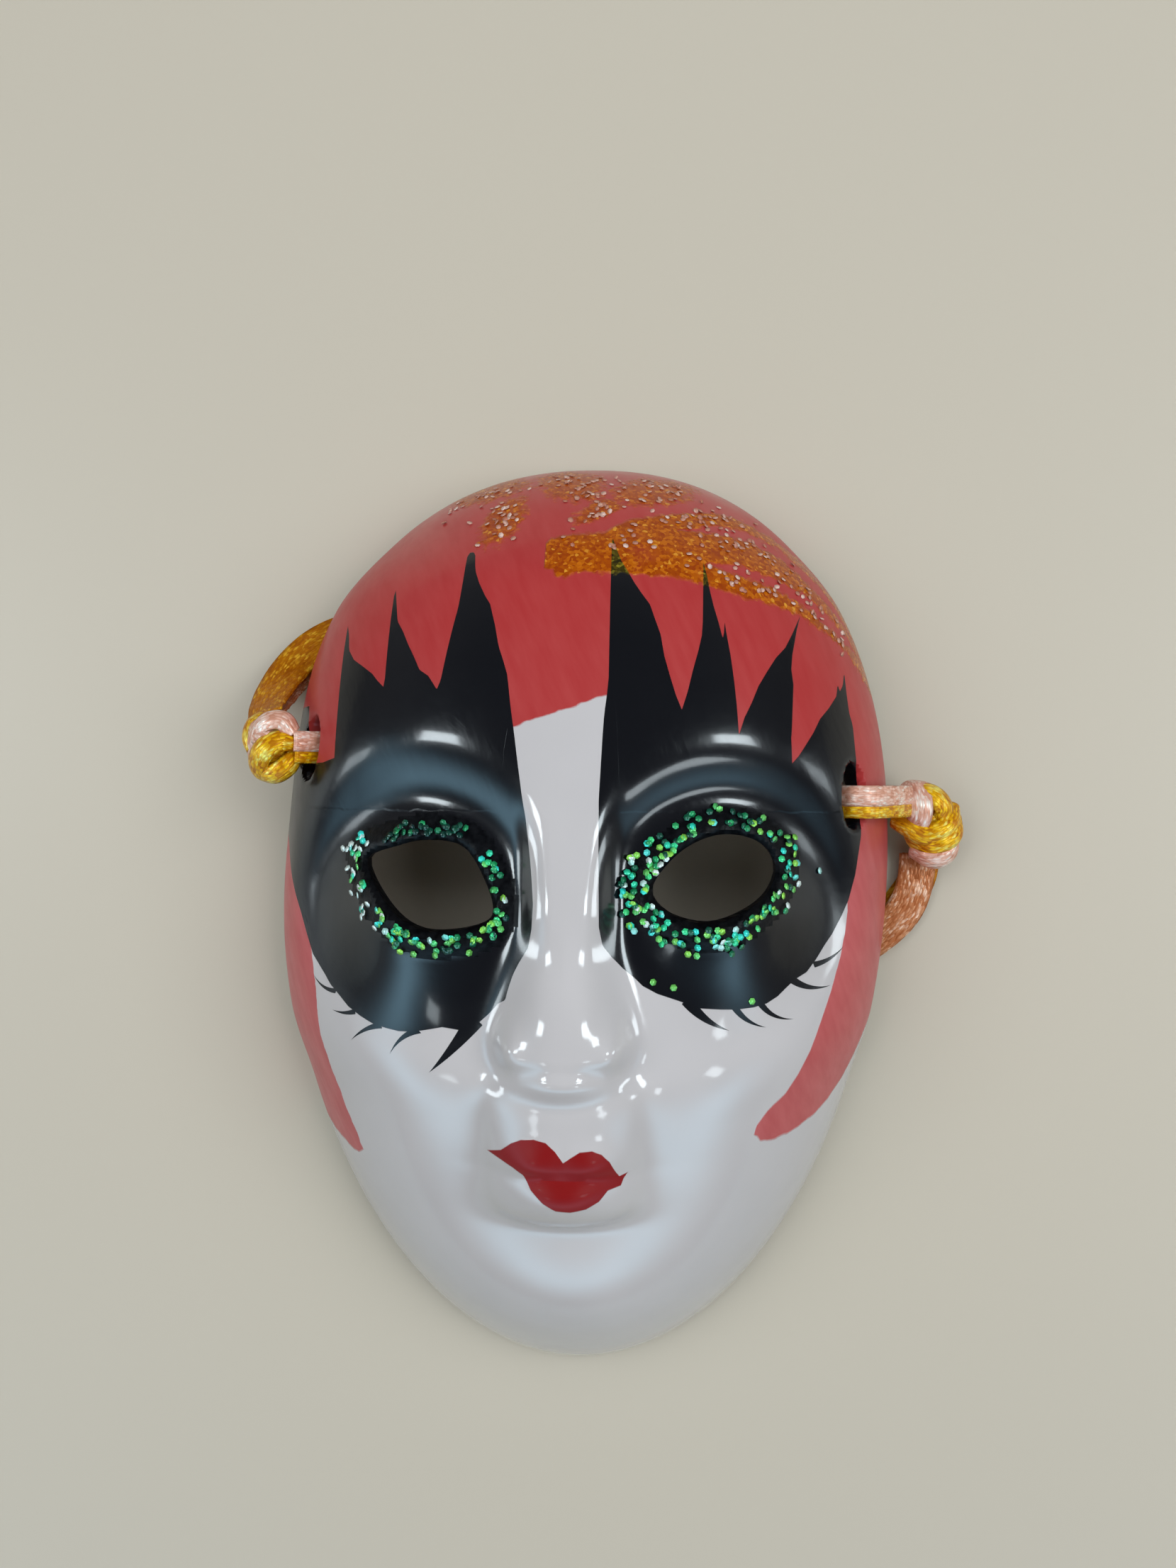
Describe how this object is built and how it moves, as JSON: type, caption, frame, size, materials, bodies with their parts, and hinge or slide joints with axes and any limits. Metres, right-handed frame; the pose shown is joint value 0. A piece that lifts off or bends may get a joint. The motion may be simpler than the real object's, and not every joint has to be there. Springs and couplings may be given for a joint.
{
  "type": "ceramic wall mask",
  "caption": "Small hollow glazed ceramic face mask with almond eye holes, painted black, coral and white, hung by a gold and pink satin ribbon knotted at the temples.",
  "frame": {"origin": "on the surface the mask lies on, under the middle of its rim", "axes": "+X to the viewer's right, +Y to the crown, +Z out of the face"},
  "size_m": [0.0965, 0.125, 0.0356],
  "materials": {
    "glazed_ceramic": "white glaze, hand painted in black, coral and red",
    "gold_satin": "shiny satin ribbon",
    "pink_satin": "shiny satin ribbon",
    "green_glitter": "black glitter glue with green flakes round the eyes",
    "gold_glitter": "clear orange glaze with pale flakes"
  },
  "bodies": {
    "root": {"mask": "glazed_ceramic", "gold_ribbon": "gold_satin", "pink_ribbon": "pink_satin", "left_tie": "pink_satin", "right_tie": "pink_satin", "left_knot": "gold_satin", "right_knot": "gold_satin"}
  },
  "joints": []
}
